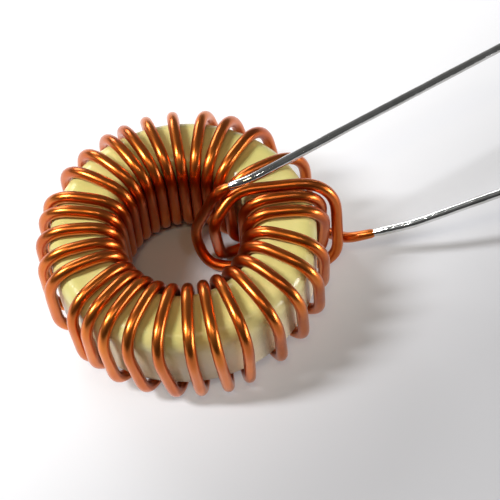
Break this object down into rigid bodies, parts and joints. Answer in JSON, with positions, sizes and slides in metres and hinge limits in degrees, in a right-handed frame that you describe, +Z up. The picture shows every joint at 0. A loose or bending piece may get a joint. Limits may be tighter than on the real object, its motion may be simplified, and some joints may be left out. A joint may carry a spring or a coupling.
{
  "type": "toroidal inductor",
  "caption": "Toroidal inductor: enamelled copper wire wound through a coated powder ring core, with two long tinned leads that leave on one side.",
  "frame": {"origin": "on the ring's axis, at the height of the surface that the lowest turns stand on", "axes": "+Z up along the ring's axis, +X towards the side where both leads leave"},
  "size_m": [0.0665, 0.039, 0.0165],
  "materials": {
    "core_coat": "satin",
    "enamelled_copper": "gloss",
    "solder": "gloss"
  },
  "bodies": {
    "root": {"core": "core_coat", "winding": "enamelled_copper", "start_solder": "solder", "finish_solder": "solder"}
  },
  "joints": []
}
